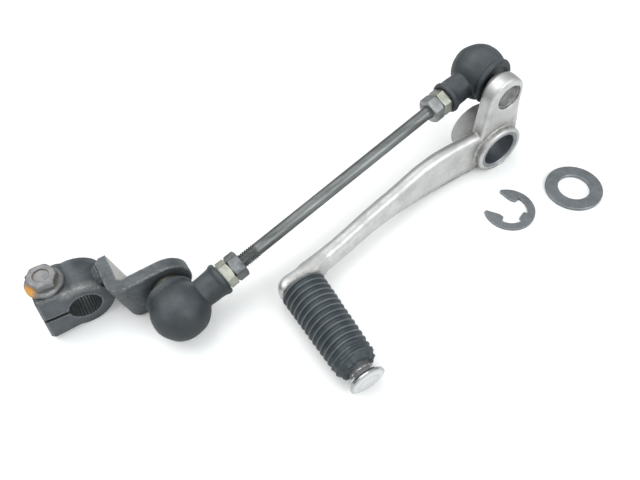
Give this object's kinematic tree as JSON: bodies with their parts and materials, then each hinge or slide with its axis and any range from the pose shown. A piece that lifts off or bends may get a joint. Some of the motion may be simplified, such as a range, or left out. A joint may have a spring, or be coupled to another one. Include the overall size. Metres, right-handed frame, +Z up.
{
  "type": "gear shift lever",
  "caption": "Aluminium foot shift lever with ribbed toe rubber, ball-jointed link rod, black splined clamp arm, and a loose plain washer and E-ring.",
  "frame": {"origin": "centre of the lever's pivot bore, at mid length", "axes": "+Y along the pivot axis toward the engine side (outboard is -Y), toe peg forward at -X, +Z up"},
  "size_m": [0.2338, 0.1004, 0.0508],
  "materials": {
    "cast_aluminium": "satin",
    "bush": "satin",
    "peg": "polished",
    "black_rubber": "matte",
    "zinc_steel": "satin",
    "plain_steel": "satin",
    "dark_steel": "satin",
    "black_coated_steel": "satin",
    "bolt_steel": "satin",
    "seat_plastic": "matte"
  },
  "bodies": {
    "lever": {"shift_lever": "cast_aluminium", "pivot_bush": "bush", "toe_peg": "peg", "toe_rubber": "black_rubber", "upper_ball_stud": "zinc_steel", "pivot_washer": "plain_steel", "pivot_e_ring": "plain_steel"},
    "upper_seat": {"upper_ball_seat": "seat_plastic"},
    "upper_end": {"upper_rod_end": "zinc_steel", "upper_seat_cap": "zinc_steel", "upper_dust_boot": "black_rubber"},
    "upper_nut": {"upper_lock_nut": "dark_steel"},
    "rod": {"link_rod": "dark_steel", "lower_lock_nut": "dark_steel"},
    "lower_end": {"lower_rod_end": "zinc_steel", "lower_seat_cap": "zinc_steel", "lower_dust_boot": "black_rubber"},
    "lower_seat": {"lower_ball_seat": "seat_plastic"},
    "clamp_arm": {"lower_ball_stud": "zinc_steel", "clamp_bracket": "black_coated_steel", "clamp_block": "black_coated_steel", "bracket_weld": "black_coated_steel", "pinch_bolt": "bolt_steel"}
  },
  "joints": [
    {"name": "upper_swivel", "type": "hinge", "parent": "lever", "child": "upper_seat", "pos_m": [0.0009, 0.0127, 0.0277], "axis": [0, 1, 0], "range_deg": [-25, 60]},
    {"name": "upper_tilt", "type": "hinge", "parent": "upper_seat", "child": "upper_end", "pos_m": [0.0009, 0.0127, 0.0277], "axis": [-0.1754, 0, 0.9845], "range_deg": [-20, 3]},
    {"name": "upper_thread", "type": "slide", "parent": "upper_end", "child": "upper_nut", "axis": [-0.9775, -0.1194, -0.1741], "range_m": [0, 0.002]},
    {"name": "rod_turn", "type": "hinge", "parent": "upper_nut", "child": "rod", "pos_m": [0.0009, 0.0127, 0.0277], "axis": [-0.9775, -0.1194, -0.1741], "range_deg": [0, 720]},
    {"name": "lower_thread", "type": "slide", "parent": "upper_nut", "child": "lower_end", "axis": [-0.9775, -0.1194, -0.1741], "range_m": [0, 0.002]},
    {"name": "lower_tilt", "type": "hinge", "parent": "lower_end", "child": "lower_seat", "pos_m": [-0.15432, -0.00627, 0.00005], "axis": [-0.1754, 0, 0.9845], "range_deg": [-3, 20]},
    {"name": "lower_swivel", "type": "hinge", "parent": "lower_seat", "child": "clamp_arm", "pos_m": [-0.15432, -0.00627, 0.00005], "axis": [0, 1, 0], "range_deg": [-90, 90]}
  ],
  "couplings": [
    {"joint": "rod_turn", "follows": "upper_thread", "rad_per_m": 6283.2},
    {"joint": "lower_thread", "follows": "upper_thread", "ratio": 1}
  ]
}
